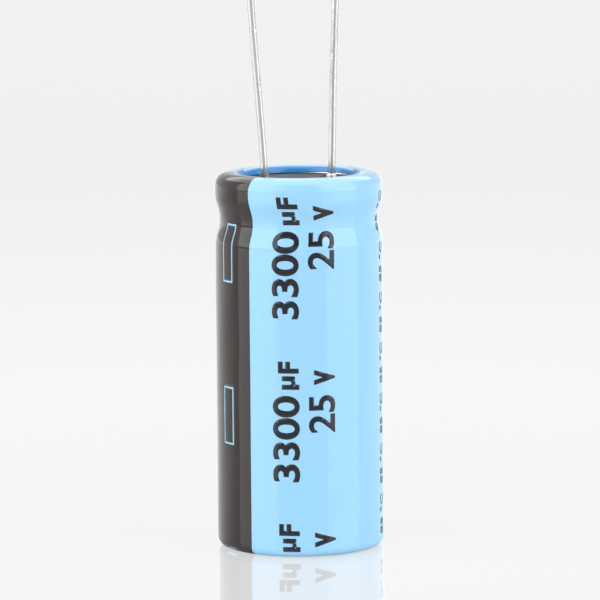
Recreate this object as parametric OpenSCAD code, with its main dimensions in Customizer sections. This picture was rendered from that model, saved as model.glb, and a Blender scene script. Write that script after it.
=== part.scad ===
// Radial-lead aluminium electrolytic capacitor, 16 mm case standing on its can base, leads up.
// Origin at the centre of the base, +Z towards the leads, leads on the X axis, negative at -X.

/* [Film sleeve] */
// Outside diameter of the film on the straight wall
film_d = 16.4; // [15:0.1:20]
// Height of the rim's crest above the base
film_h = 36.9; // [30:0.1:42]
// Thickness of the shrunk film
film_t = 0.2; // [0.14:0.01:0.24]
// Outside radius of the corner round the base
corner_r = 0.8; // [0.7:0.05:1.4]
// Width of the film's turned-in edge on the base
film_turn_in = 1.7; // [1.2:0.1:3]
// Depth of the film's waist over the bead
film_waist_depth = 0.45; // [0.25:0.05:0.6]
// Height at which the film stops above the can's cut edge
film_lip_lift = 0.14; // [0.04:0.02:0.3]

/* [Rim and bead] */
// Radius of the rim's outer shoulder
rim_outer_r = 1.3; // [1.1:0.05:1.8]
// Width of the flat crest between the two shoulders
crest_w = 0.4; // [0.05:0.05:0.6]
// Radius of the rim's inner shoulder
rim_inner_r = 0.75; // [0.68:0.01:0.95]
// Height of the bead's centre below the rim's crest
bead_drop = 4.5; // [4.2:0.1:5]
// Half of the bead's height from shoulder to shoulder
bead_half = 2.36; // [1.9:0.02:2.5]
// Depth that the bead is rolled into the can
bead_depth = 0.8; // [0.65:0.05:1]
// Share of the bead's curve that belongs to the trough
trough_share = 0.6; // [0.5:0.05:0.65]

/* [Can] */
// Thickness of the drawn aluminium wall
can_t = 0.35; // [0.25:0.01:0.38]
// Thickness of the can's base
can_base_t = 0.45; // [0.38:0.01:0.8]
// Length of each line of the scored vent, end to end
vent_len = 9; // [5:0.5:11]
// Width of the scored lines
vent_w = 0.4; // [0.2:0.05:0.8]
// Depth of the scored lines
vent_depth = 0.16; // [0.05:0.01:0.25]

/* [Polarity print] */
// Depth of the ink in the film
ink_t = 0.05; // [0.03:0.01:0.08]
// Angle of the stripe's middle from +X
stripe_angle = 177.5; // [170:0.5:190]
// Angle that the stripe covers
stripe_span = 52.8; // [30:0.2:70]
// Angle from the stripe's middle to the middle of the minus marks
mark_angle = 4; // [-4.5:0.5:4.5]
// Width of one minus mark
mark_w = 1.75; // [1:0.05:2.6]
// Length of one minus mark
mark_len = 5.7; // [4:0.1:8]
// Width of the line round a minus mark
mark_line = 0.18; // [0.1:0.02:0.4]
// Distance from one minus mark to the next
mark_pitch = 15.95; // [12:0.05:18]
// Distance from the crest to the top of the first mark
mark_drop = 4.65; // [3:0.05:8]

/* [Rubber bung] */
// Thickness of the bung
bung_t = 6.3; // [5.8:0.1:7]
// Chamfer round the bung's inner end
bung_chamfer = 0.5; // [0.2:0.1:1]
// Width of the rubber lip raised round each lead hole
pip_w = 0.3; // [0.2:0.05:0.6]
// Height of that lip
pip_h = 0.12; // [0.05:0.01:0.2]

/* [Leads] */
// Distance between the leads where they leave the bung
lead_pitch = 7.5; // [6:0.1:7.8]
// Diameter of the tinned wire
lead_d = 0.8; // [0.6:0.05:1]
// Length of the negative lead from its weld
negative_len = 21; // [15:0.5:30]
// Length of the positive lead from its weld
positive_len = 26; // [20:0.5:35]
// Outward lean of the negative lead, in degrees
negative_lean_angle = 4.6; // [0:0.1:8]
// Outward lean of the positive lead, in degrees
positive_lean_angle = 1.7; // [0:0.1:8]
// Bevel left round the cut end of a lead
tip_bevel = 0.08; // [0.04:0.01:0.2]
// Diameter of the weld bead that joins wire and tab
weld_d = 1.2; // [1.1:0.05:1.5]
// Height of the weld bead above the bung's face
weld_rise = 0.5; // [0.3:0.05:0.6]

/* [Tabs] */
// Diameter of the tab's round stud
stud_d = 1.8; // [1.5:0.05:2]
// Depth of the stud's end below the bung's face
stud_sink = 0.15; // [0.05:0.05:0.5]
// Length of the stud below the bung before it is pressed flat
stud_tail = 0.5; // [0.3:0.1:0.8]
// Length over which the stud turns into the paddle
press_len = 1.2; // [0.8:0.1:1.5]
// Width of the flat paddle
paddle_w = 2.6; // [2:0.1:3.2]
// Thickness of the flat paddle
paddle_t = 0.3; // [0.2:0.02:0.4]
// Height of the winding left below a paddle
paddle_foot = 6.4; // [3:0.1:10]

/* [Wound element] */
// Clearance between the winding and the can's wall
winding_gap = 0.4; // [0.3:0.05:0.8]
// Height left free between the winding and the pressed part of the tabs
winding_head = 1; // [0.3:0.1:3]
// Diameter of the hole left by the winding mandrel
core_d = 3; // [2:0.1:3.4]
// Spacing of the turns that show on the end faces
turn_pitch = 0.8; // [0.6:0.05:1.2]
// Width of the gap between two turns
turn_gap = 0.25; // [0.15:0.05:0.4]
// Depth of that gap below the paper's edge
turn_depth = 0.4; // [0.2:0.05:0.8]
// Thickness of the closing tape
tape_t = 0.1; // [0.06:0.01:0.12]
// Height of the closing tape
tape_h = 14; // [8:0.5:18]
// Lap of the tape past one full turn, in degrees
tape_lap_angle = 40; // [20:5:90]

/* [Hidden] */
$fn = 96;

// Clearance between nested pieces
seat_gap = 0.03;
// Length by which a cutting shape passes the face that it cuts
over = 1;
// Facets of the blend between a stud and its paddle
press_fn = 32;

film_r = film_d / 2;
crest_out_r = film_r - rim_outer_r;
crest_in_r = crest_out_r - crest_w;
bead_z = film_h - bead_drop;

// Depth of each wall's face below the film's face, from the film inwards
can_skin = film_t + seat_gap;
bore_skin = can_skin + can_t;
bung_skin = bore_skin + seat_gap;

can_edge_z = film_h - rim_inner_r;
film_lip_z = can_edge_z + film_lip_lift;
base_in_z = can_skin + can_base_t;
bung_top_z = can_edge_z - seat_gap;
bung_low_z = bung_top_z - bung_t;

lead_x = lead_pitch / 2;
stud_top_z = bung_top_z - stud_sink;
weld_z = bung_top_z + weld_rise - weld_d / 2;
stud_low_z = bung_low_z - stud_tail;
press_low_z = stud_low_z - press_len;

winding_r = film_r - bore_skin - winding_gap;
winding_z = base_in_z + seat_gap;
winding_top_z = press_low_z - winding_head;
winding_h = winding_top_z - winding_z;
first_turn_r = core_d / 2 + turn_gap;
turns = floor((winding_r - turn_gap - first_turn_r) / turn_pitch);

// Sum of the trough's and the shoulder's radius for a bead of this depth
function bead_curve(depth) = (bead_half * bead_half + depth * depth) / (2 * depth);

// What a bead takes out of a wall whose face is at wall_r, in section.
// Trough and shoulders are tangent arcs, and inset draws them all in by the same distance.
module bead_section(wall_r, depth, inset) {
    trough = trough_share * bead_curve(depth);
    shoulder = bead_curve(depth) - trough;
    trough_x = wall_r - depth + trough;
    shoulder_x = wall_r - shoulder;
    outer_x = trough_x + trough;
    difference() {
        polygon([[shoulder_x, bead_z - bead_half], [outer_x, bead_z - bead_half],
                 [outer_x, bead_z + bead_half], [shoulder_x, bead_z + bead_half],
                 [trough_x, bead_z]]);
        for (side = [-1, 1])
            translate([shoulder_x, bead_z + side * bead_half]) circle(shoulder - inset);
    }
    translate([trough_x, bead_z]) circle(trough + inset);
}

// Half section of a plain can shape drawn in by skin from the film's face:
// rounded base corner, straight wall, and the rim rolled over towards the mouth
module plain_section(skin) {
    difference() {
        union() {
            translate([0, skin]) square([film_r - corner_r, can_edge_z - skin]);
            translate([0, corner_r]) square([film_r - skin, film_h - rim_outer_r - corner_r]);
            translate([film_r - corner_r, corner_r]) circle(corner_r - skin);
            translate([crest_out_r, film_h - rim_outer_r]) circle(rim_outer_r - skin);
            translate([crest_in_r, film_h - rim_outer_r]) square([crest_w, rim_outer_r - skin]);
            translate([crest_in_r, can_edge_z]) circle(rim_inner_r - skin);
        }
        difference() {
            translate([-over, can_edge_z]) square([crest_in_r + over, film_h]);
            translate([crest_in_r, can_edge_z]) circle(rim_inner_r - skin);
        }
    }
}

// The film bridges the bead, so its waist is shallower than the can's
module film_section(skin) {
    difference() {
        plain_section(skin);
        bead_section(film_r, film_waist_depth, skin);
    }
}

module can_section(skin) {
    difference() {
        plain_section(skin);
        bead_section(film_r - can_skin, bead_depth, skin - can_skin);
    }
}

// Where the film is open: the disc on the base, and the mouth below its upper edge
module film_openings() {
    translate([-over, -over]) square([film_r - film_turn_in + over, film_h / 2]);
    translate([-over, -over]) square([crest_in_r + over, film_lip_z + over]);
}

// Outlines of the minus marks, seen from outside the stripe
module mark_lines() {
    for (top_z = [film_h - mark_drop : -mark_pitch : 0])
        translate([film_r - corner_r, 0, top_z - mark_len / 2]) difference() {
            translate([0, -mark_w / 2, -mark_len / 2]) cube([corner_r + over, mark_w, mark_len]);
            translate([-over, mark_line - mark_w / 2, mark_line - mark_len / 2])
                cube([corner_r + 3 * over, mark_w - 2 * mark_line, mark_len - 2 * mark_line]);
        }
}

// Ring sector of the stripe, with the marks left out; its section is the child
module stripe_sector() {
    rotate([0, 0, stripe_angle]) difference() {
        rotate([0, 0, -stripe_span / 2]) rotate_extrude(angle = stripe_span) children();
        rotate([0, 0, mark_angle]) mark_lines();
    }
}

// Ink lies in the film, flush with its face, and the marks are bare film
module polarity_stripe() {
    color([0.29, 0.27, 0.26]) stripe_sector() difference() {
        film_section(0);
        film_section(ink_t);
        film_openings();
    }
}

// Shrunk film from the turned-in edge on the base to the lip in the mouth
module sleeve() {
    color([0.67, 0.87, 1]) difference() {
        rotate_extrude() difference() {
            film_section(0);
            film_section(film_t);
            film_openings();
        }
        stripe_sector() difference() {
            translate([crest_in_r - rim_inner_r - over, -over])
                square([rim_inner_r + film_r - crest_in_r + 2 * over, film_h + 2 * over]);
            film_section(ink_t);
        }
    }
}

// Drawn shell: base with a scored vent, rolled bead, rim curled into the rubber
module can() {
    color([0.8, 0.81, 0.82]) difference() {
        rotate_extrude() difference() {
            can_section(can_skin);
            intersection() {
                can_section(bore_skin);
                translate([-over, base_in_z]) square([film_r + over, film_h]);
            }
            translate([-over, base_in_z])
                square([crest_in_r - rim_inner_r + can_skin + over, film_h]);
        }
        for (turn = [0, 90])
            rotate([0, 0, turn]) translate([-vent_len / 2, -vent_w / 2, can_skin - over])
                cube([vent_len, vent_w, over + vent_depth]);
    }
}

// Bung squeezed to a waist by the bead and nipped under the curled edge
module rubber_bung() {
    nip_r = crest_in_r - rim_inner_r + bung_skin;
    color([0.36, 0.37, 0.39]) difference() {
        union() {
            rotate_extrude() difference() {
                can_section(bung_skin);
                translate([-over, -over]) square([film_r + over, bung_low_z + over]);
                translate([-over, bung_top_z]) square([nip_r + over, film_h]);
                translate([film_r - bung_skin, bung_low_z]) rotate(45)
                    square(bung_chamfer * sqrt(2), center = true);
            }
            for (side = [-1, 1]) translate([side * lead_x, 0, bung_top_z - over])
                cylinder(d = stud_d + 2 * pip_w, h = over + pip_h);
        }
        for (side = [-1, 1]) translate([side * lead_x, 0, bung_low_z - over])
            cylinder(d = stud_d + 2 * seat_gap, h = bung_t + 2 * over);
    }
}

// Aluminium tab: a round stud through the bung, pressed flat where it enters the winding
module tab(side) {
    color([0.82, 0.82, 0.83]) translate([side * lead_x, 0, 0]) {
        translate([0, 0, stud_low_z]) cylinder(d = stud_d, h = stud_top_z - stud_low_z);
        hull() {
            translate([0, 0, stud_low_z]) cylinder(d = stud_d, h = seat_gap, $fn = press_fn);
            translate([-paddle_t / 2, -paddle_w / 2, press_low_z]) cube([paddle_t, paddle_w, seat_gap]);
        }
        paddle(paddle_w, paddle_t, press_low_z);
    }
}

// Flat paddle hanging from top_z, with a round end
module paddle(w, t, top_z) {
    low_z = winding_z + paddle_foot;
    rotate([0, 90, 0]) linear_extrude(t, center = true) {
        translate([-top_z, -w / 2]) square([top_z - low_z - paddle_w / 2, w]);
        translate([-low_z - paddle_w / 2, 0]) circle(d = w);
    }
}

// Tinned wire that leans outwards, and the weld bead that sits on the end of its stud
module lead(side, len, lean_angle) {
    color([0.83, 0.83, 0.82]) difference() {
        translate([side * lead_x, 0, weld_z]) rotate([0, side * lean_angle, 0]) {
            sphere(d = weld_d);
            cylinder(d = lead_d, h = len - tip_bevel);
            translate([0, 0, len - tip_bevel])
                cylinder(d1 = lead_d, d2 = lead_d - 2 * tip_bevel, h = tip_bevel);
        }
        translate([side * lead_x, 0, stud_top_z - weld_d])
            cylinder(d = 2 * weld_d, h = weld_d);
    }
}

// Gap between the turns on one end face: half turns about two centres, pitch/2 apart
module turn_gaps() {
    for (turn = [0 : turns - 1]) {
        r = first_turn_r + turn * turn_pitch;
        rotate_extrude(angle = 180) translate([r, 0]) square([turn_gap, turn_depth + over]);
        translate([turn_pitch / 2, 0]) rotate(180) rotate_extrude(angle = 180)
            translate([r + turn_pitch / 2, 0]) square([turn_gap, turn_depth + over]);
    }
}

// Roll of foil and paper, with the mandrel's hole and a pocket round each paddle
module wound_element() {
    color([0.78, 0.72, 0.6]) difference() {
        translate([0, 0, winding_z]) cylinder(r = winding_r, h = winding_h);
        translate([0, 0, winding_z - over]) cylinder(d = core_d, h = winding_h + 2 * over);
        translate([0, 0, winding_top_z - turn_depth]) turn_gaps();
        translate([0, 0, winding_z + turn_depth]) mirror([0, 0, 1]) turn_gaps();
        for (side = [-1, 1]) translate([side * lead_x, 0, 0])
            paddle(paddle_w + 2 * seat_gap, paddle_t + 2 * seat_gap, winding_top_z + over);
    }
}

// One turn of tape round the winding, lapped over its own start
module closing_tape() {
    tape_r = winding_r + seat_gap;
    tape_z = winding_z + (winding_h - tape_h) / 2;
    color([0.9, 0.85, 0.55]) translate([0, 0, tape_z]) {
        rotate_extrude() translate([tape_r, 0]) square([tape_t, tape_h]);
        rotate_extrude(angle = tape_lap_angle) translate([tape_r, 0]) square([2 * tape_t, tape_h]);
    }
}

sleeve();
polarity_stripe();
can();
rubber_bung();
tab(-1);  // negative_tab
tab(1);  // positive_tab
lead(-1, negative_len, negative_lean_angle);  // negative_lead
lead(1, positive_len, positive_lean_angle);  // positive_lead
wound_element();
closing_tape();
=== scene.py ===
from math import cos, pi, radians, sin, tan

import bmesh
import bpy
import numpy as np
from mathutils import Matrix, Vector


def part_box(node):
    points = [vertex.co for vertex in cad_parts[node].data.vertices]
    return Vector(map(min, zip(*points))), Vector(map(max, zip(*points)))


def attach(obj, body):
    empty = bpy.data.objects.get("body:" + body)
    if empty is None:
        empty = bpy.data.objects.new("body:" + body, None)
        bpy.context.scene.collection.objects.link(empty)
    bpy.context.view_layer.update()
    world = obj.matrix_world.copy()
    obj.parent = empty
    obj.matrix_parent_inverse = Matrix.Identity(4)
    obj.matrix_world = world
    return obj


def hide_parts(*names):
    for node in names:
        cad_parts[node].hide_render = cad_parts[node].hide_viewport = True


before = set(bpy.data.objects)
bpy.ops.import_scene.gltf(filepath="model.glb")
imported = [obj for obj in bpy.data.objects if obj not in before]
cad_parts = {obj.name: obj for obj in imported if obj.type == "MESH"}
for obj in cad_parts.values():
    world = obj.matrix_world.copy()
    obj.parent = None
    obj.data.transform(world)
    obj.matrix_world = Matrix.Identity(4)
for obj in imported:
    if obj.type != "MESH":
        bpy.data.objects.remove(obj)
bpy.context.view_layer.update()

MM = 0.001


# Camera
# A long lens looks down a little on the rim, from 30 degrees left of square on to the leads, so
# that the polarity stripe shows at the left. Its picture is 600 pixels wide.

PICTURE_WIDTH = 600
FOCAL_PIXELS = 4231.8
CAMERA_TURN = radians(-30)
CAMERA_PAN = radians(-0.008)
CAMERA_DISTANCE = 412.5 * MM
CAMERA_HEIGHT = 78.95 * MM
CAMERA_TILT = radians(7.563)
CAMERA_ROLL = radians(-0.434)

camera_data = bpy.data.cameras.new("camera")
camera_data.sensor_width = 36
camera_data.lens = camera_data.sensor_width * FOCAL_PIXELS / PICTURE_WIDTH
camera_data.clip_start = 0.01
camera = bpy.data.objects.new("camera", camera_data)
bpy.context.scene.collection.objects.link(camera)
camera.matrix_world = (
    Matrix.Rotation(CAMERA_TURN, 4, "Z")
    @ Matrix.Translation((0, -CAMERA_DISTANCE, CAMERA_HEIGHT))
    @ Matrix.Rotation(CAMERA_PAN, 4, "Z")
    @ Matrix.Rotation(pi / 2 - CAMERA_TILT, 4, "X")
    @ Matrix.Rotation(CAMERA_ROLL, 4, "Z")
)
bpy.context.scene.camera = camera


# Tabs
# Two aluminium rods, each pressed flat at its inner end and stitched to a foil. The round end
# comes up through the bung. They are drawn and pressed, so their skin is satin with fine streaks.

STUD_DARK = (0.46, 0.46, 0.47, 1)
STUD_BRIGHT = (0.7, 0.7, 0.71, 1)
ALUMINIUM_PIT = (0.4, 0.4, 0.41, 1)


def feed(tree, node, inputs):
    """Sets inputs of a node, given by socket name or number, each as a value or as the output
    socket that feeds it."""
    for key, value in inputs.items():
        if isinstance(value, bpy.types.NodeSocket):
            tree.links.new(value, node.inputs[key])
        else:
            node.inputs[key].default_value = value


def add_node(tree, kind, inputs=None, **settings):
    """A shader node of that kind. settings are the node's own properties."""
    made = tree.nodes.new(kind)
    for key, value in settings.items():
        setattr(made, key, value)
    feed(tree, made, inputs or {})
    return made


def effect_group(name, inputs, output):
    """An empty shader group with a Vector, number inputs with their usual values and one number
    output. It returns the group, its input node and its output node."""
    group = bpy.data.node_groups.new(name, "ShaderNodeTree")
    group.interface.new_socket("Vector", in_out="INPUT", socket_type="NodeSocketVector")
    for key, value in inputs.items():
        socket = group.interface.new_socket(key, in_out="INPUT", socket_type="NodeSocketFloat")
        socket.default_value = value
    group.interface.new_socket(output, in_out="OUTPUT", socket_type="NodeSocketFloat")
    return group, group.nodes.new("NodeGroupInput"), group.nodes.new("NodeGroupOutput")


def place_group(tree, group, inputs):
    """The output of the group, placed in a material with that material's own values."""
    made = tree.nodes.new("ShaderNodeGroup")
    made.node_tree = group
    feed(tree, made, inputs)
    return made.outputs[0]


# Uneven: a value that drifts between Low and High over blotches 1 / Scale wide
uneven, given, result = effect_group("uneven", {"Scale": 1.0, "Low": 0.0, "High": 1.0}, "Value")
blotches = add_node(
    uneven,
    "ShaderNodeTexNoise",
    {"Vector": given.outputs["Vector"], "Scale": given.outputs["Scale"], "Detail": 3.0},
)
drift = add_node(
    uneven,
    "ShaderNodeMapRange",
    {
        "Value": blotches.outputs["Fac"],
        "From Min": 0.3,
        "From Max": 0.7,
        "To Min": given.outputs["Low"],
        "To Max": given.outputs["High"],
    },
)
uneven.links.new(drift.outputs["Result"], result.inputs["Value"])

# Streaks: fine grain drawn out along Z by Stretch, for rolled, drawn and shrunk skins
streaks, given, result = effect_group("streaks", {"Scale": 1.0, "Stretch": 10.0}, "Grain")
squeeze = add_node(
    streaks, "ShaderNodeMath", {0: 1.0, 1: given.outputs["Stretch"]}, operation="DIVIDE"
)
factors = add_node(
    streaks, "ShaderNodeCombineXYZ", {"X": 1.0, "Y": 1.0, "Z": squeeze.outputs[0]}
)
drawn_out = add_node(
    streaks,
    "ShaderNodeVectorMath",
    {0: given.outputs["Vector"], 1: factors.outputs[0]},
    operation="MULTIPLY",
)
grain = add_node(
    streaks,
    "ShaderNodeTexNoise",
    {"Vector": drawn_out.outputs[0], "Scale": given.outputs["Scale"], "Detail": 4.0},
)
streaks.links.new(grain.outputs["Fac"], result.inputs["Grain"])

# Specks: round spots of Size times a cell, in a Share of cells 1 / Scale wide, for dust and pits
specks, given, result = effect_group(
    "specks", {"Scale": 1.0, "Share": 0.1, "Size": 0.3}, "Mask"
)
cells = add_node(
    specks,
    "ShaderNodeTexVoronoi",
    {"Vector": given.outputs["Vector"], "Scale": given.outputs["Scale"]},
)
chance = add_node(specks, "ShaderNodeSeparateColor", {"Color": cells.outputs["Color"]})
chosen = add_node(
    specks,
    "ShaderNodeMath",
    {0: chance.outputs[0], 1: given.outputs["Share"]},
    operation="LESS_THAN",
)
spot_size = add_node(
    specks,
    "ShaderNodeMath",
    {0: chance.outputs[1], 1: given.outputs["Size"]},
    operation="MULTIPLY",
)
spot = add_node(
    specks,
    "ShaderNodeMapRange",
    {"Value": cells.outputs["Distance"], "From Min": spot_size.outputs[0], "From Max": 0.0},
)
mask = add_node(
    specks,
    "ShaderNodeMath",
    {0: chosen.outputs[0], 1: spot.outputs["Result"]},
    operation="MULTIPLY",
)
specks.links.new(mask.outputs[0], result.inputs["Mask"])


def new_material(name):
    """A material with its Principled shader, and the position on the object in millimetres."""
    material = bpy.data.materials.new(name)
    material.use_nodes = True
    tree = material.node_tree
    shader = tree.nodes["Principled BSDF"]
    place = add_node(tree, "ShaderNodeTexCoord")
    scaled = add_node(
        tree,
        "ShaderNodeVectorMath",
        {0: place.outputs["Object"], "Scale": 1 / MM},
        operation="SCALE",
    )
    return material, tree, shader, scaled.outputs[0]


def tinted(tree, mask, plain, mark):
    """A colour that turns from plain to mark as the mask goes from 0 to 1. Inputs 6 and 7 and
    output 2 of a Mix node are its colours."""
    inputs = {"Factor": mask, 6: plain, 7: mark}
    return add_node(tree, "ShaderNodeMix", inputs, data_type="RGBA").outputs[2]


def bump(tree, shader, height, depth):
    """Fine relief of that depth in metres, from a height between 0 and 1."""
    relief = add_node(
        tree, "ShaderNodeBump", {"Height": height, "Distance": depth, "Strength": 1.0}
    )
    tree.links.new(relief.outputs["Normal"], shader.inputs["Normal"])


def drawn_aluminium(name, streak_scale, roughness, dark, bright):
    """Satin aluminium with fine lines along Z from dark to bright, dull blotches and some pits."""
    material, tree, shader, place = new_material(name)
    grain = place_group(tree, streaks, {"Vector": place, "Scale": streak_scale, "Stretch": 25.0})
    dull = place_group(
        tree,
        uneven,
        {"Vector": place, "Scale": 0.6, "Low": roughness, "High": roughness + 0.12},
    )
    pits = place_group(tree, specks, {"Vector": place, "Scale": 3.0, "Share": 0.12, "Size": 0.3})
    shade = tinted(tree, grain, dark, bright)
    tree.links.new(tinted(tree, pits, shade, ALUMINIUM_PIT), shader.inputs["Base Color"])
    tree.links.new(dull, shader.inputs["Roughness"])
    shader.inputs["Metallic"].default_value = 1
    bump(tree, shader, grain, 0.004 * MM)
    return material


def dress(node, material):
    """Gives a CAD node its material and leaves its mesh and place as they are."""
    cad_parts[node].data.materials.clear()
    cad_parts[node].data.materials.append(material)


tab_aluminium = drawn_aluminium("tab_aluminium", 6.0, 0.38, STUD_DARK, STUD_BRIGHT)
dress("negative_tab", tab_aluminium)
dress("positive_tab", tab_aluminium)


# Wound element
# Anode foil, cathode foil and paper rolled up together and soaked in electrolyte. Its ends show
# the edges of the turns, tan paper standing a little proud of grey foil.

PAPER_DARK = (0.4, 0.33, 0.21, 1)
PAPER_LIGHT = (0.66, 0.58, 0.42, 1)
FOIL_GREY = (0.42, 0.41, 0.38, 1)

material, tree, shader, place = new_material("winding_paper")
turns_shown = add_node(
    tree,
    "ShaderNodeTexWave",
    {"Vector": place, "Scale": 1.6, "Distortion": 1.5, "Detail": 2.0},
    wave_type="RINGS",
    rings_direction="Z",
)
damp = place_group(tree, uneven, {"Vector": place, "Scale": 0.5, "Low": 0.3, "High": 0.62})
fibres = place_group(tree, streaks, {"Vector": place, "Scale": 4.0, "Stretch": 3.0})
paper = tinted(tree, fibres, PAPER_DARK, PAPER_LIGHT)
edge_colour = tinted(tree, turns_shown.outputs["Fac"], paper, FOIL_GREY)
tree.links.new(edge_colour, shader.inputs["Base Color"])
tree.links.new(damp, shader.inputs["Roughness"])
bump(tree, shader, fibres, 0.02 * MM)
dress("wound_element", material)


# Closing tape
# One turn of thin clear tape, yellowish with its glue, that keeps the roll closed.

GLUE_DARK = (0.72, 0.62, 0.26, 1)
GLUE_LIGHT = (0.86, 0.78, 0.44, 1)
BUBBLE_PALE = (0.9, 0.86, 0.62, 1)

material, tree, shader, place = new_material("closing_tape")
bubbles = place_group(tree, specks, {"Vector": place, "Scale": 1.5, "Share": 0.3, "Size": 0.5})
glue = place_group(tree, streaks, {"Vector": place, "Scale": 1.5, "Stretch": 6.0})
yellow = tinted(tree, glue, GLUE_DARK, GLUE_LIGHT)
tree.links.new(tinted(tree, bubbles, yellow, BUBBLE_PALE), shader.inputs["Base Color"])
shader.inputs["Roughness"].default_value = 0.2
bump(tree, shader, bubbles, 0.02 * MM)
dress("closing_tape", material)


# Leads
# Tinned copper-clad steel wires, butt-welded to the studs with a lumpy bead. They leave the bung
# nearly upright, lean outwards and have nicks where they were gripped and fed.

STUD_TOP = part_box("negative_tab")[1].z
LEAD_RADIUS = 0.4 * MM
BEAD_RADIUS = 0.6 * MM
BEAD_HEIGHT = STUD_TOP + 0.05 * MM
TIP_BEVEL = 0.08 * MM
BEAD_FILLET = 0.14 * MM
LEAD_FOOT = 3.75 * MM
LUMP_HEIGHT = 0.035 * MM
OVALITY = 0.002 * MM
SWAY = 0.03 * MM
BEAD_SINK = 0.1 * MM
LEAD_COLUMNS = 48
ROW_STEP = 0.12 * MM
LAST_ROW_GAP = 0.03 * MM

# The weld's rough grey fades out between these heights over the bead's middle, in millimetres
WELD_FADE_START = 0.3
WELD_FADE_END = 0.6
WELD_ROUGHNESS = 0.3

TIN_DARK = (0.6, 0.595, 0.575, 1)
TIN_BRIGHT = (0.72, 0.715, 0.695, 1)
TIN_PIT = (0.4, 0.36, 0.3, 1)
WELD_GREY = (0.4, 0.395, 0.38, 1)

# Nicks as distance along the wire (mm), angle round it (degrees), depth and half length (mm) and
# half width (degrees)
NEGATIVE_NICKS = [
    (15.1, -75, 0.05, 0.16, 22),
    (10.2, -70, 0.035, 0.42, 25),
    (5.3, -140, 0.015, 0.3, 20),
    (18.3, 60, 0.03, 0.25, 30),
    (2.1, 160, 0.02, 0.2, 30),
]
POSITIVE_NICKS = [
    (14.9, -62, 0.045, 1.15, 24),
    (9.6, -50, 0.03, 0.3, 20),
    (12.4, -165, 0.02, 0.5, 18),
    (20.5, 80, 0.03, 0.35, 30),
    (6.2, 150, 0.02, 0.25, 25),
]


def close_tube(points):
    """Vertices and faces of a closed tube from rings of points, one row to a ring, each ring
    counter-clockwise about the way on. Each end gets its middle point and a fan of triangles."""
    rows, columns = points.shape[:2]
    r, c = np.meshgrid(np.arange(rows - 1), np.arange(columns), indexing="ij")
    below, above = r * columns, (r + 1) * columns
    after = (c + 1) % columns
    corners = [below + c, below + after, above + after, above + c]
    quads = np.stack(corners, -1).reshape(-1, 4)
    vertices = np.concatenate([points.reshape(-1, 3), points[[0, -1]].mean(1)])
    ring = np.arange(columns)
    after = (ring + 1) % columns
    foot = np.stack([after, ring, ring * 0 + rows * columns], -1)
    top = (rows - 1) * columns
    tip = np.stack([top + ring, top + after, ring * 0 + rows * columns + 1], -1)
    return vertices, quads.tolist() + foot.tolist() + tip.tolist()


def new_piece(name, vertices, faces, material):
    """A smooth-shaded piece at the origin that rides on the object's one body."""
    mesh = bpy.data.meshes.new(name)
    mesh.from_pydata(np.asarray(vertices).tolist(), [], faces)
    mesh.materials.append(material)
    mesh.validate()
    mesh.shade_smooth()
    piece = bpy.data.objects.new(name, mesh)
    bpy.context.scene.collection.objects.link(piece)
    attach(piece, "root")
    return piece


def nicked(distance, angles, nicks):
    """Depth pressed into the wire: for each nick, depth * exp(-(s / length)^2 - (a / width)^2)."""
    pressed = 0 * distance * angles
    for at, around, depth, length, width in nicks:
        along = (distance - at * MM) / (length * MM)
        turn = (np.degrees(angles) - around + 180) % 360 - 180
        pressed += depth * MM * np.exp(-(along**2) - (turn / width) ** 2)
    return pressed


def lead_points(side, lean, length, nicks, phase):
    """Rings of a lead along its own axis. The radius is the bead's circle up to a fillet, then the
    wire, then the bevel of the cut end. The bead's lumps are products of sines of the angle and
    of the distance, and the axis sways as a sine of the distance."""
    bend = BEAD_RADIUS + BEAD_FILLET
    meet = np.sqrt(bend**2 - (LEAD_RADIUS + BEAD_FILLET) ** 2)
    climb = np.linspace(-BEAD_SINK, meet * BEAD_RADIUS / bend, 22)
    bead = np.sqrt(BEAD_RADIUS**2 - climb**2)
    sweep = np.linspace(meet * BEAD_RADIUS / bend, meet, 8)[1:]
    fillet = LEAD_RADIUS + BEAD_FILLET - np.sqrt(BEAD_FILLET**2 - (meet - sweep) ** 2)
    straight = np.arange(meet + ROW_STEP, length - TIP_BEVEL - LAST_ROW_GAP, ROW_STEP)
    ends = np.array([length - TIP_BEVEL, length - 0.5 * TIP_BEVEL, length])
    distance = np.concatenate([climb, sweep, straight, ends])[:, None]
    radius = np.concatenate([
        bead, fillet, straight * 0 + LEAD_RADIUS,
        LEAD_RADIUS - np.array([0, 0.35, 1]) * TIP_BEVEL,
    ])[:, None]
    angles = np.linspace(0, 2 * pi, LEAD_COLUMNS, endpoint=False)[None, :]
    on_bead = np.clip(1 - distance / meet, 0, 1)
    lumps = np.sin(3 * angles + phase) * np.sin(6 * distance / MM + phase)
    lumps += 0.7 * np.sin(5 * angles - 2 * phase) * np.sin(11 * distance / MM)
    radius = radius + LUMP_HEIGHT * on_bead * lumps - nicked(distance, angles, nicks)
    drawn = OVALITY * np.sin(2 * angles + distance / (2.3 * MM) + phase)
    radius = radius + drawn * (1 - on_bead)
    sway = SWAY * np.sin(distance / (3.4 * MM) + phase) * np.clip(distance / (4 * MM), 0, 1)
    across = radius * np.cos(angles) + sway
    x = side * LEAD_FOOT + across * cos(lean) + side * distance * sin(lean)
    y = radius * np.sin(angles) + 0 * distance
    z = BEAD_HEIGHT + distance * cos(lean) - side * across * sin(lean)
    return np.stack([x, y, np.maximum(z, STUD_TOP)], -1)


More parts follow.
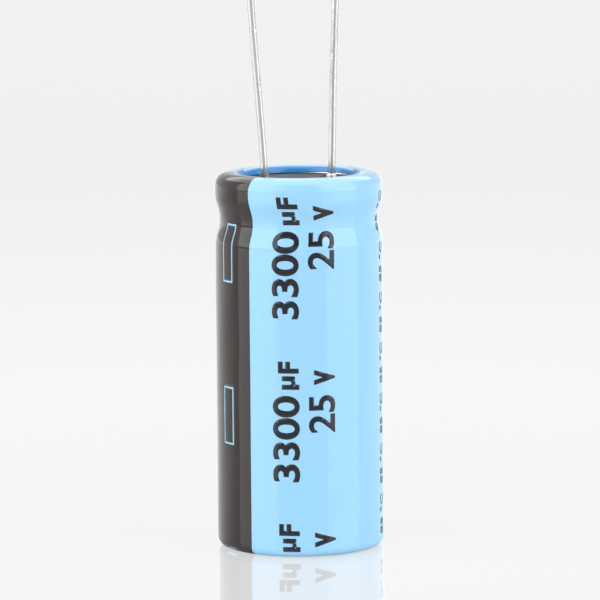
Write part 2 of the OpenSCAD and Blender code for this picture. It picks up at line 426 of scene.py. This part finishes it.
material, tree, shader, place = new_material("lead_tin")
dull = place_group(tree, uneven, {"Vector": place, "Scale": 0.9, "Low": 0.1, "High": 0.2})
pits = place_group(tree, specks, {"Vector": place, "Scale": 3.0, "Share": 0.08, "Size": 0.3})
drawn = place_group(tree, streaks, {"Vector": place, "Scale": 5.0, "Stretch": 30.0})
tin = tinted(tree, pits, tinted(tree, drawn, TIN_DARK, TIN_BRIGHT), TIN_PIT)
height = add_node(tree, "ShaderNodeSeparateXYZ", {0: place}).outputs["Z"]
weld = add_node(
    tree,
    "ShaderNodeMapRange",
    {
        "Value": height,
        "From Min": BEAD_HEIGHT / MM + WELD_FADE_START,
        "From Max": BEAD_HEIGHT / MM + WELD_FADE_END,
        "To Min": 1.0,
        "To Max": 0.0,
    },
).outputs["Result"]
scorched = add_node(
    tree, "ShaderNodeMath", {0: weld, 1: WELD_ROUGHNESS, 2: dull}, operation="MULTIPLY_ADD"
).outputs[0]
tree.links.new(tinted(tree, weld, tin, WELD_GREY), shader.inputs["Base Color"])
tree.links.new(scorched, shader.inputs["Roughness"])
shader.inputs["Metallic"].default_value = 0.85
bump(tree, shader, drawn, 0.0012 * MM)
lead_tin = material

for name, side, lean, length, nicks, phase in (
    ("negative", -1, radians(4.6), 21 * MM, NEGATIVE_NICKS, 0.4),
    ("positive", 1, radians(1.7), 26 * MM, POSITIVE_NICKS, 2.1),
):
    vertices, faces = close_tube(lead_points(side, lean, length, nicks, phase))
    lead = new_piece(name + "_wire", vertices, faces, lead_tin)
    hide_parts(name + "_lead")


# Rubber bung
# A moulded plug of hard dark rubber that the bead squeezes and the curled edge nips. Its face has
# a matt bloom with pale and dark specks of filler.

RUBBER_DARK = (0.07, 0.068, 0.068, 1)
RUBBER_BLOOM = (0.11, 0.108, 0.108, 1)
FILLER_PALE = (0.2, 0.195, 0.19, 1)
SOOT_BLACK = (0.05, 0.045, 0.04, 1)

material, tree, shader, place = new_material("seal_rubber")
filler = place_group(tree, specks, {"Vector": place, "Scale": 7.0, "Share": 0.5, "Size": 0.5})
soot = place_group(tree, specks, {"Vector": place, "Scale": 4.0, "Share": 0.4, "Size": 0.6})
bloom = place_group(tree, uneven, {"Vector": place, "Scale": 0.9, "Low": 0.0, "High": 1.0})
rubber = tinted(tree, filler, tinted(tree, bloom, RUBBER_DARK, RUBBER_BLOOM), FILLER_PALE)
tree.links.new(tinted(tree, soot, rubber, SOOT_BLACK), shader.inputs["Base Color"])
shader.inputs["Roughness"].default_value = 0.6
shader.inputs["Specular IOR Level"].default_value = 0.1
bump(tree, shader, filler, 0.02 * MM)
dress("rubber_bung", material)


# Can
# A deep-drawn aluminium cup. Its wall is rolled in to a bead below the bung and its edge is curled
# down on the rubber. Its base has a cross scored in it, which opens if the pressure rises.

CAN_DARK = (0.7, 0.71, 0.73, 1)
CAN_BRIGHT = (0.88, 0.89, 0.9, 1)

dress("can", drawn_aluminium("can_aluminium", 3.0, 0.24, CAN_DARK, CAN_BRIGHT))


# Film sleeve
# A printed heat-shrink tube, drawn over the can and shrunk on hot. It bridges the rolled bead as a
# shallow waist, turns over the rim into the mouth and turns in under the base.

FILM_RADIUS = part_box("sleeve")[1].x
FILM_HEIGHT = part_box("sleeve")[1].z
FILM_THICKNESS = 0.2 * MM
CORNER_RADIUS = 0.8 * MM
TURN_IN = 1.7 * MM
WAIST_HEIGHT = FILM_HEIGHT - 4.5 * MM
WAIST_HALF = 2.36 * MM
WAIST_DEPTH = 0.45 * MM
WAIST_EASE = 0.7 * MM
EASE_STEPS = 15
TROUGH_SHARE = 0.6
RIM_OUTER_RADIUS = 1.3 * MM
RIM_INNER_RADIUS = 0.75 * MM
CREST_WIDTH = 0.4 * MM
CREST_OUTER = FILM_RADIUS - RIM_OUTER_RADIUS
CREST_INNER = CREST_OUTER - CREST_WIDTH
CAN_EDGE_HEIGHT = FILM_HEIGHT - RIM_INNER_RADIUS

# Angles round the axis run from +X towards +Y
STRIPE_ANGLE = radians(177.5)
STRIPE_HALF = radians(26.4)
MARK_ANGLE = radians(181.5)
LIP_HIGH_ANGLE = radians(22)
LIP_HIGH_WIDTH = radians(32)
FILM_COLUMNS = 288

# How far the film turns over the inner shoulder, and how much less at its high side, in degrees
LIP_TURN = 90
LIP_BACK = 13

LONG_RIPPLE = 0.006 * MM
SHORT_RIPPLE = 0.004 * MM
WAIST_WANDER = 0.16 * MM
WAIST_WIDTH = 1.5 * MM
BULGE_WANDER = 0.1 * MM
BULGE_WIDTH = 0.9 * MM
BULGE_DROP = 1.6 * MM

MARK_HALF = 0.875 * MM
MARK_LINE = 0.18 * MM
MARK_LENGTH = 5.7 * MM
MARK_TOPS = FILM_HEIGHT - 4.65 * MM - 15.95 * MM * np.arange(3)


def line(start, end, count):
    """Points from start to end: start + (end - start) * t."""
    t = np.linspace(0, 1, count)[:, None]
    return np.array(start) * (1 - t) + np.array(end) * t


def arc(centre, radius, first, last, count):
    """Points of an arc in section: centre + radius * (cos a, sin a), angles in degrees."""
    a = np.radians(np.linspace(first, last, count))
    return np.array(centre) + radius * np.stack([np.cos(a), np.sin(a)], -1)


def waist_path(wall, height, half, depth, share, count):
    """Section of a rolled groove: shoulder arc, trough arc and shoulder arc, each tangent to the
    next. Their radii add up to (half^2 + depth^2) / (2 depth), and share of it is the trough's.
    The film's stiffness rounds the change from arc to arc, as a weighted mean over WAIST_EASE."""
    total = (half**2 + depth**2) / (2 * depth)
    trough = share * total
    shoulder = total - trough
    turn = np.degrees(np.arcsin(half / total))
    lower = arc((wall - shoulder, height - half), shoulder, 0, turn, count)
    middle = arc((wall - depth + trough, height), trough, 180 + turn, 180 - turn, 2 * count)
    upper = arc((wall - shoulder, height + half), shoulder, -turn, 0, count)
    arcs = np.concatenate([lower, middle[1:-1], upper])
    reach = half + WAIST_EASE
    heights = height + np.linspace(-reach, reach, 4 * count)
    shifts = WAIST_EASE * np.linspace(-1, 1, EASE_STEPS)
    eased = [np.interp(heights + shift, arcs[:, 1], arcs[:, 0]) for shift in shifts]
    weights = np.hanning(EASE_STEPS) + 1e-3
    return np.stack([np.average(eased, axis=0, weights=weights), heights], -1)


def film_path(lip_angle):
    """Outer face of the film in section, (radius, height), from its edge under the base to its
    lip in the mouth. lip_angle is how far it turns over the inner shoulder, in degrees."""
    reach = WAIST_HALF + WAIST_EASE
    parts = [
        line((FILM_RADIUS - TURN_IN, 0), (FILM_RADIUS - CORNER_RADIUS, 0), 6)[:-1],
        arc((FILM_RADIUS - CORNER_RADIUS, CORNER_RADIUS), CORNER_RADIUS, -90, 0, 14),
        line((FILM_RADIUS, CORNER_RADIUS), (FILM_RADIUS, WAIST_HEIGHT - reach), 60)[1:-1],
        waist_path(FILM_RADIUS, WAIST_HEIGHT, WAIST_HALF, WAIST_DEPTH, TROUGH_SHARE, 14),
        arc((CREST_OUTER, FILM_HEIGHT - RIM_OUTER_RADIUS), RIM_OUTER_RADIUS, 0, 90, 24),
        line((CREST_OUTER, FILM_HEIGHT), (CREST_INNER, FILM_HEIGHT), 4)[1:-1],
        arc((CREST_INNER, CAN_EDGE_HEIGHT), RIM_INNER_RADIUS, 90, 90 + lip_angle, 20),
    ]
    return np.concatenate(parts)


def offset(path, distance):
    """The path moved to its left by distance, along the normals of its own slope."""
    slope = np.gradient(path, axis=0)
    slope /= np.linalg.norm(slope, axis=1)[:, None]
    return path + distance * np.stack([-slope[:, 1], slope[:, 0]], -1)


def with_stops(path, heights):
    """The path with further points where its rising wall passes the given heights."""
    place = np.arange(len(path))
    rising = slice(5, np.argmax(path[:, 1]) + 1)
    stops = np.union1d(place, np.interp(heights, path[rising, 1], place[rising]))
    return np.stack([np.interp(stops, place, path[:, k]) for k in (0, 1)], -1)


def lip_turn(angles):
    """How far the film turns over the inner shoulder, in degrees. It shrank unevenly: it covers
    the can's cut edge nearly all round and draws back from it on one side, with shorter waves."""
    back = np.exp(-((((angles - LIP_HIGH_ANGLE + pi) % (2 * pi) - pi) / LIP_HIGH_WIDTH) ** 2))
    waves = 0.8 * np.sin(3 * angles + 1) + 0.6 * np.sin(7 * angles)
    return LIP_TURN - LIP_BACK * back + waves


def film_ripple(angles, heights):
    """Slight waves that the film keeps from shrinking, as two crossing sines."""
    long_wave = LONG_RIPPLE * np.sin(5 * angles + heights / (3.1 * MM))
    return long_wave + SHORT_RIPPLE * np.sin(11 * angles - heights / (1.7 * MM))


def film_wander(heights):
    """Angle by which the print wanders round the can: to the right in the waist and to the left on
    the bulge, each as exp(-((height - middle) / width)^2)."""
    waist = np.exp(-(((heights - WAIST_HEIGHT) / WAIST_WIDTH) ** 2))
    bulge = np.exp(-(((heights - FILM_HEIGHT + BULGE_DROP) / BULGE_WIDTH) ** 2))
    return (WAIST_WANDER * waist - BULGE_WANDER * bulge) / FILM_RADIUS


mark_inner = np.arcsin((MARK_HALF - MARK_LINE) / FILM_RADIUS)
mark_outer = np.arcsin(MARK_HALF / FILM_RADIUS)
stripe_edges = STRIPE_ANGLE + STRIPE_HALF * np.array([-1, 1])
mark_edges = MARK_ANGLE + np.array([-mark_outer, -mark_inner, mark_inner, mark_outer])

# The lowest mark lies in the base corner alone, so it has no lower end on the wall
mark_ends = (MARK_TOPS - MARK_LENGTH)[:-1]
mark_stops = np.concatenate([MARK_TOPS, MARK_TOPS - MARK_LINE, mark_ends, mark_ends + MARK_LINE])

even = np.linspace(0, 2 * pi, FILM_COLUMNS, endpoint=False)
columns = np.union1d(even, np.concatenate([stripe_edges, mark_edges]) % (2 * pi))
turns = lip_turn(columns)

outer = np.stack([with_stops(film_path(turn), mark_stops) for turn in turns], 1)
inner = np.stack([with_stops(offset(film_path(turn), FILM_THICKNESS), []) for turn in turns], 1)
film_angles = columns[None, :] + film_wander(outer[:, :, 1])
outer[:, :, 0] += film_ripple(film_angles, outer[:, :, 1])


def revolve(section, angles):
    """Points of a section turned about the axis: (r cos a, r sin a, z)."""
    x = section[:, :, 0] * np.cos(angles)
    y = section[:, :, 0] * np.sin(angles)
    return np.stack([x, y, section[:, :, 1] + 0 * angles], -1)


def ring_faces(rows, columns):
    """Quads of a closed ring: both the rows and the columns of its grid meet their own start."""
    r, c = np.meshgrid(np.arange(rows), np.arange(columns), indexing="ij")
    below, above = r * columns, (r + 1) % rows * columns
    after = (c + 1) % columns
    corners = [below + c, below + after, above + after, above + c]
    return np.stack(corners, -1).reshape(-1, 4).tolist()


# The inner face lies against the can, so a third of its rows is enough
inner_face = revolve(inner[::-1][::3], columns[None, :])
section = np.concatenate([revolve(outer, film_angles), inner_face])

# Film that metal backs looks pale. Film past the metal's curl is painted deep blue:
# partly film with no metal behind it, partly painted shade in the recess of the mouth
BACKED_BLUE = (0.35, 0.69, 0.97, 1)
UNBACKED_SHADED_BLUE = (0.018, 0.25, 0.64, 1)
BACKED_LIT_END = CREST_INNER - 0.46 * MM
BACKED_LIT_FADE = 0.2 * MM
DUST_GREY = (0.5, 0.5, 0.5, 1)
LINT_GREY = (0.3, 0.3, 0.3, 1)


def film_shade(name, plain, unbacked_shaded=None):
    """Glossy shrunk film or the ink in it: faint shrink lines, drifting gloss and grains of dust.
    The last argument is the colour in the mouth: no metal behind the film, and painted shade."""
    material, tree, shader, place = new_material(name)
    pulled = place_group(tree, streaks, {"Vector": place, "Scale": 1.1, "Stretch": 9.0})
    gloss = place_group(tree, uneven, {"Vector": place, "Scale": 0.35, "Low": 0.06, "High": 0.12})
    dust = place_group(tree, specks, {"Vector": place, "Scale": 2.2, "Share": 0.05, "Size": 0.12})
    lint = place_group(tree, specks, {"Vector": place, "Scale": 6.0, "Share": 0.04, "Size": 0.25})
    colour = plain
    if unbacked_shaded is not None:
        # The mask turns the film deep blue inside the mouth, as unbacked film and as painted shade
        backed_and_lit = add_node(tree, "ShaderNodeAttribute", attribute_name="backed_and_lit")
        colour = tinted(tree, backed_and_lit.outputs["Fac"], unbacked_shaded, plain)
    colour = tinted(tree, lint, tinted(tree, dust, colour, DUST_GREY), LINT_GREY)
    tree.links.new(colour, shader.inputs["Base Color"])
    tree.links.new(gloss, shader.inputs["Roughness"])
    shader.inputs["IOR"].default_value = 1.53
    bump(tree, shader, pulled, 0.004 * MM)
    return material


film = new_piece(
    "film_sleeve",
    section.reshape(-1, 3),
    ring_faces(*section.shape[:2]),
    film_shade("film", BACKED_BLUE, UNBACKED_SHADED_BLUE),
)
# The mask is 1 where metal backs the film and falls to 0 inside the mouth, for painted shade there
radius = np.linalg.norm(section[:, :, :2], axis=-1)
backed_and_lit = np.clip((radius - BACKED_LIT_END) / BACKED_LIT_FADE, 0, 1)
layer = film.data.attributes.new("backed_and_lit", "FLOAT", "POINT")
layer.data.foreach_set("value", backed_and_lit.astype(np.float32).reshape(-1))
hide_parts("sleeve")


# Polarity stripe
# A warm black field printed down one side of the film, from under the base to the lip. Minus marks
# are left bare in it as thin outlines.

INK_LIFT = 0.008 * MM
INK_THICKNESS = 0.012 * MM
STRIPE_BLACK = (0.019, 0.0128, 0.0108, 1)


def cell_shell(outside, inside, kept):
    """Vertices and faces of a thin closed shell over the kept cells of a grid: its outer cells,
    its inner cells turned round, and a wall along each side where the next cell isn't kept."""
    rows, width = outside.shape[:2]
    index = np.arange(rows * width).reshape(rows, width)
    low_left, low_right = index[:-1, :-1], index[:-1, 1:]
    high_left, high_right = index[1:, :-1], index[1:, 1:]
    under = rows * width
    framed = np.pad(kept, 1)
    faces = [
        np.stack([low_left, low_right, high_right, high_left], -1)[kept],
        np.stack([low_left, high_left, high_right, low_right], -1)[kept] + under,
    ]
    for neighbour, first, last in (
        (framed[:-2, 1:-1], low_left, low_right),
        (framed[2:, 1:-1], high_right, high_left),
        (framed[1:-1, :-2], high_left, low_left),
        (framed[1:-1, 2:], low_right, high_right),
    ):
        wall = np.stack([last, first, first + under, last + under], -1)
        faces.append(wall[kept & ~neighbour])
    vertices = np.concatenate([outside.reshape(-1, 3), inside.reshape(-1, 3)])
    faces = np.concatenate(faces)
    used, faces = np.unique(faces, return_inverse=True)
    return vertices[used], faces.reshape(-1, 4).tolist()


printed = np.flatnonzero(np.abs(columns - STRIPE_ANGLE) < STRIPE_HALF + 1e-6)
across = columns[printed] - MARK_ANGLE
field = revolve(outer, film_angles)[:, printed]
along, around = np.gradient(field, axis=0), np.gradient(field, axis=1)
normal = np.cross(around, along)
normal /= np.linalg.norm(normal, axis=-1)[:, :, None]

cell_angle = 0.5 * (across[1:] + across[:-1])[None, :]
cell_height = 0.5 * (outer[1:, 0, 1] + outer[:-1, 0, 1])[:, None]
cell_radius = 0.5 * (outer[1:, 0, 0] + outer[:-1, 0, 0])[:, None]
bare = np.zeros((len(cell_height), len(printed) - 1), bool)
for top in MARK_TOPS:
    low = top - MARK_LENGTH
    box_in = (np.abs(cell_angle) < mark_inner) & (cell_height < top - MARK_LINE)
    box_in = box_in & (cell_height > low + MARK_LINE)
    box_out = (np.abs(cell_angle) < mark_outer) & (cell_height < top) & (cell_height > low)
    bare |= box_out & ~box_in & (cell_radius > FILM_RADIUS - CORNER_RADIUS)

vertices, faces = cell_shell(
    field + (INK_LIFT + INK_THICKNESS) * normal, field + INK_LIFT * normal, ~bare
)
stripe_ink = film_shade("stripe_ink", STRIPE_BLACK)
stripe = new_piece("polarity_stripe_ink", vertices, faces, stripe_ink)
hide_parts("polarity_stripe")


# Rating print
# Plain figures and unit signs in a cooler black, repeated down the film and read upwards: the
# rating in front and a small column of the highest temperature beside it. They are set as text,
# cut into narrow cells and laid round the film.

PRINT_PITCH = 15.95 * MM
COLUMN_PITCH = 5.0 * MM
CELL = 0.3 * MM
WELD_DISTANCE = 1e-7
VIEW_ANGLE = radians(-120)
PRINT_BLACK = (0.006, 0.009, 0.016, 1)

# Each line of text, the weight of its strokes, the heights of its start and end (mm), the angles
# of its top and foot from the camera's side (degrees), and the distance to its next repeat
PRINT_LINES = [
    ("3300", 0.025, 23.39, 31.86, -18.9, -0.3, PRINT_PITCH),
    ("µ", 0.04, 32.47, 33.78, -12.4, -0.5, PRINT_PITCH),
    ("F", 0.045, 34.05, 35.21, -15.0, -0.85, PRINT_PITCH),
    ("25", 0.02, 28.19, 31.87, 5.8, 24.4, PRINT_PITCH),
    ("V", 0.08, 32.89, 34.37, 9.5, 24.2, PRINT_PITCH),
    ("85 °C", 0.02, 31.2, 35.2, 72.0, 79.0, COLUMN_PITCH),
]


def text_outline(text, weight):
    """A filled mesh of a line of text on the XY plane, its strokes thickened by weight."""
    curve = bpy.data.curves.new("print_text", "FONT")
    curve.body = text
    curve.resolution_u = 6
    curve.offset = weight
    words = bpy.data.objects.new("print_text", curve)
    bpy.context.scene.collection.objects.link(words)
    bpy.context.view_layer.update()
    mesh = bpy.data.meshes.new_from_object(
        words.evaluated_get(bpy.context.evaluated_depsgraph_get())
    )
    bpy.data.objects.remove(words)
    bpy.data.curves.remove(curve)
    return mesh


def positions(mesh):
    """The places of a mesh's vertices, one row to a vertex."""
    flat = np.zeros(len(mesh.vertices) * 3)
    mesh.vertices.foreach_get("co", flat)
    return flat.reshape(-1, 3)


def set_line(text, weight, start, end, top_angle, base_angle):
    """A mesh of the text, flat, with x as the height up the film from start to end, and y as the
    distance round it, from the angle of its foot to the angle of its top."""
    mesh = text_outline(text, weight)
    laid = positions(mesh)
    low, high = laid[:, 0].min(), laid[:, 0].max()
    foot, head = laid[:, 1].min(), laid[:, 1].max()
    share = (laid[:, 1] - foot) / (head - foot)
    laid[:, 0] = start + (laid[:, 0] - low) / (high - low) * (end - start)
    laid[:, 1] = (base_angle + (top_angle - base_angle) * share) * FILM_RADIUS
    mesh.vertices.foreach_set("co", laid.reshape(-1))
    return mesh


sheet = bmesh.new()
for text, weight, start, end, top_angle, base_angle, pitch in PRINT_LINES:
    for drop in np.arange(0, start * MM, pitch):
        mesh = set_line(
            text,
            weight,
            start * MM - drop,
            end * MM - drop,
            radians(top_angle),
            radians(base_angle),
        )
        sheet.from_mesh(mesh)
        bpy.data.meshes.remove(mesh)
for axis, direction in ((0, Vector((1, 0, 0))), (1, Vector((0, 1, 0)))):
    places = [v.co[axis] for v in sheet.verts]
    for at in np.arange(min(places) + CELL, max(places), CELL):
        everything = sheet.verts[:] + sheet.edges[:] + sheet.faces[:]
        bmesh.ops.bisect_plane(
            sheet, geom=everything, dist=WELD_DISTANCE, plane_co=direction * at, plane_no=direction
        )
bmesh.ops.remove_doubles(sheet, verts=sheet.verts[:], dist=WELD_DISTANCE)

mesh = bpy.data.meshes.new("rating_print")
sheet.to_mesh(mesh)
sheet.free()
height, distance = positions(mesh)[:, :2].T
rising = film_path(turns[0])
rising = rising[5 : np.argmax(rising[:, 1]) + 1]
angle = VIEW_ANGLE + distance / FILM_RADIUS + film_wander(height)
radius = np.interp(height, rising[:, 1], rising[:, 0]) + film_ripple(angle, height) + INK_LIFT
placed = np.stack([radius * np.cos(angle), radius * np.sin(angle), height], -1)
mesh.vertices.foreach_set("co", placed.reshape(-1))
mesh.materials.append(film_shade("print_ink", PRINT_BLACK))
rating = bpy.data.objects.new("rating_print", mesh)
bpy.context.scene.collection.objects.link(rating)
thicken = rating.modifiers.new("ink", "SOLIDIFY")
thicken.thickness = INK_THICKNESS
thicken.offset = 1
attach(rating, "root")


# Floor
# A plain pale glossy sheet that mirrors the part faintly. To the camera it is a nearly even white
# that keeps some of the part's soft shadow near its foot.

FLOOR_HALF = 4.0
FLOOR_DROP = 0.04 * MM
FLOOR_IOR = 1.5
FLOOR_GREY = (0.88, 0.88, 0.88, 1)
SHADOW_WHITE = (0.8, 0.8, 0.8, 1)
FLOOR_NEAR = 0.96
FLOOR_FAR = 0.82
MIRROR_SHARE = 0.85
SHADOW_SHARE = 0.15

# Distances from the part, in millimetres, over which the white is painted dimmer as light falls
# off, and the shadow fades
WHITE_REACH = 400.0
SHADOW_START = 30.0
SHADOW_END = 120.0

floor_mesh = bpy.data.meshes.new("floor")
corners = [(-1, -1), (1, -1), (1, 1), (-1, 1)]
floor_mesh.from_pydata(
    [(FLOOR_HALF * x, FLOOR_HALF * y, -FLOOR_DROP) for x, y in corners], [], [(0, 1, 2, 3)]
)
floor = bpy.data.objects.new("floor", floor_mesh)
bpy.context.scene.collection.objects.link(floor)

material, tree, shader, place = new_material("pale_floor")
shader.inputs["Base Color"].default_value = FLOOR_GREY
shader.inputs["Roughness"].default_value = 0.05
shader.inputs["IOR"].default_value = FLOOR_IOR
away = add_node(tree, "ShaderNodeVectorMath", {0: place}, operation="LENGTH")
# Painted falloff of light: the camera's white dims away from the part
whiteness = add_node(
    tree,
    "ShaderNodeMapRange",
    {
        "Value": away.outputs["Value"],
        "From Max": WHITE_REACH,
        "To Min": FLOOR_NEAR,
        "To Max": FLOOR_FAR,
    },
    interpolation_type="SMOOTHSTEP",
)
even_white = add_node(tree, "ShaderNodeEmission", {"Strength": whiteness.outputs["Result"]})
shadowed = add_node(tree, "ShaderNodeBsdfDiffuse", {"Color": SHADOW_WHITE})
shaded_white = add_node(
    tree,
    "ShaderNodeMixShader",
    {0: SHADOW_SHARE, 1: even_white.outputs[0], 2: shadowed.outputs[0]},
)
near = add_node(
    tree,
    "ShaderNodeMapRange",
    {
        "Value": away.outputs["Value"],
        "From Min": SHADOW_START,
        "From Max": SHADOW_END,
        "To Min": 1.0,
        "To Max": 0.0,
    },
    interpolation_type="SMOOTHSTEP",
)
blend = add_node(
    tree,
    "ShaderNodeMixShader",
    {0: near.outputs["Result"], 1: even_white.outputs[0], 2: shaded_white.outputs[0]},
)
mirror = add_node(tree, "ShaderNodeBsdfGlossy", {"Color": (1, 1, 1, 1), "Roughness": 0.03})
sheen = add_node(tree, "ShaderNodeFresnel", {"IOR": FLOOR_IOR})
share = add_node(
    tree, "ShaderNodeMath", {0: sheen.outputs[0], 1: MIRROR_SHARE}, operation="MULTIPLY"
)
glossy_white = add_node(
    tree, "ShaderNodeMixShader", {0: share.outputs[0], 1: blend.outputs[0], 2: mirror.outputs[0]}
)
path = add_node(tree, "ShaderNodeLightPath")
seen = add_node(
    tree,
    "ShaderNodeMixShader",
    {0: path.outputs["Is Camera Ray"], 1: shader.outputs[0], 2: glossy_white.outputs[0]},
)
tree.links.new(seen.outputs[0], tree.nodes["Material Output"].inputs["Surface"])
floor_mesh.materials.append(material)


# Lights
# Two large softboxes stand left and right of the camera and a third hangs overhead, a little
# behind the part, in a dim room. What mirrors the room sees a white horizon and a backdrop behind.

BACKDROP = 0.93
BACKDROP_TOP = sin(radians(40))
HORIZON_TOP = sin(radians(12))
HORIZON_FADE = 0.12
BACKDROP_FOOT = 1.7
FOOT_START = -0.1
FOOT_END = 0.8
ROOM = 0.38
BOX_DISTANCE = 2.0

world = bpy.data.worlds.new("studio")
bpy.context.scene.world = world
world.use_nodes = True
tree = world.node_tree


def number(operation, first, second):
    """The result of a Math node in the world's tree."""
    return add_node(tree, "ShaderNodeMath", {0: first, 1: second}, operation=operation).outputs[0]


way = add_node(tree, "ShaderNodeTexCoord").outputs["Generated"]
upward = add_node(tree, "ShaderNodeSeparateXYZ", {0: way}).outputs["Z"]
behind = add_node(
    tree,
    "ShaderNodeVectorMath",
    {0: way, 1: (-sin(CAMERA_TURN), cos(CAMERA_TURN), 0)},
    operation="DOT_PRODUCT",
).outputs["Value"]
path = add_node(tree, "ShaderNodeLightPath")
far_half = add_node(
    tree,
    "ShaderNodeMapRange",
    {"Value": behind, "From Min": -HORIZON_FADE, "From Max": HORIZON_FADE},
    interpolation_type="SMOOTHSTEP",
).outputs["Result"]
screen = number("MULTIPLY", far_half, number("LESS_THAN", upward, BACKDROP_TOP))
low = add_node(
    tree,
    "ShaderNodeMapRange",
    {
        "Value": upward,
        "From Min": HORIZON_TOP - HORIZON_FADE,
        "From Max": HORIZON_TOP + HORIZON_FADE,
        "To Min": 1.0,
        "To Max": 0.0,
    },
    interpolation_type="SMOOTHSTEP",
).outputs["Result"]
white = number("MAXIMUM", path.outputs["Is Camera Ray"], number("MAXIMUM", screen, low))
once = add_node(tree, "ShaderNodeMapRange", {"Value": white, "To Min": ROOM, "To Max": BACKDROP})

# What is mirrored twice, in the part and in the floor, sees the bright foot of the backdrop
twice = add_node(
    tree,
    "ShaderNodeMapRange",
    {
        "Value": behind,
        "From Min": FOOT_START,
        "From Max": FOOT_END,
        "To Min": ROOM,
        "To Max": BACKDROP_FOOT,
    },
)
shown = add_node(
    tree,
    "ShaderNodeMix",
    {
        0: number("GREATER_THAN", path.outputs["Glossy Depth"], 1.5),
        2: once.outputs["Result"],
        3: twice.outputs["Result"],
    },
).outputs[0]
mirrored = number("MAXIMUM", path.outputs["Is Camera Ray"], path.outputs["Is Glossy Ray"])
level = add_node(tree, "ShaderNodeMix", {0: mirrored, 2: ROOM, 3: shown}).outputs[0]
tree.links.new(level, tree.nodes["Background"].inputs["Strength"])
tree.nodes["Background"].inputs["Color"].default_value = (1, 1, 1, 1)


def softbox(name, azimuth, elevation, half_width, half_height, brightness):
    """A rectangle of light that faces the part. Its angles are from the camera's side, in degrees,
    positive to the right and up, and brightness is what a mirror would show."""
    width = 2 * BOX_DISTANCE * tan(radians(half_width))
    height = 2 * BOX_DISTANCE * tan(radians(half_height))
    lamp = bpy.data.lights.new(name, "AREA")
    lamp.shape = "RECTANGLE"
    lamp.size = width
    lamp.size_y = height
    lamp.energy = pi * width * height * brightness
    box = bpy.data.objects.new(name, lamp)
    bpy.context.scene.collection.objects.link(box)
    box.visible_camera = False
    box.matrix_world = (
        Matrix.Translation((0, 0, 0.5 * FILM_HEIGHT))
        @ Matrix.Rotation(CAMERA_TURN + radians(azimuth), 4, "Z")
        @ Matrix.Rotation(radians(90 - elevation), 4, "X")
        @ Matrix.Translation((0, 0, BOX_DISTANCE))
    )
    return box


softbox("left_softbox", -62.5, 28, 31.5, 26.5, 2.2)
softbox("right_softbox", 63, 28, 26, 26.5, 2.3)
softbox("overhead_softbox", 0, 108, 42, 42, 2.2).visible_diffuse = False

bpy.context.scene.view_settings.view_transform = "Standard"
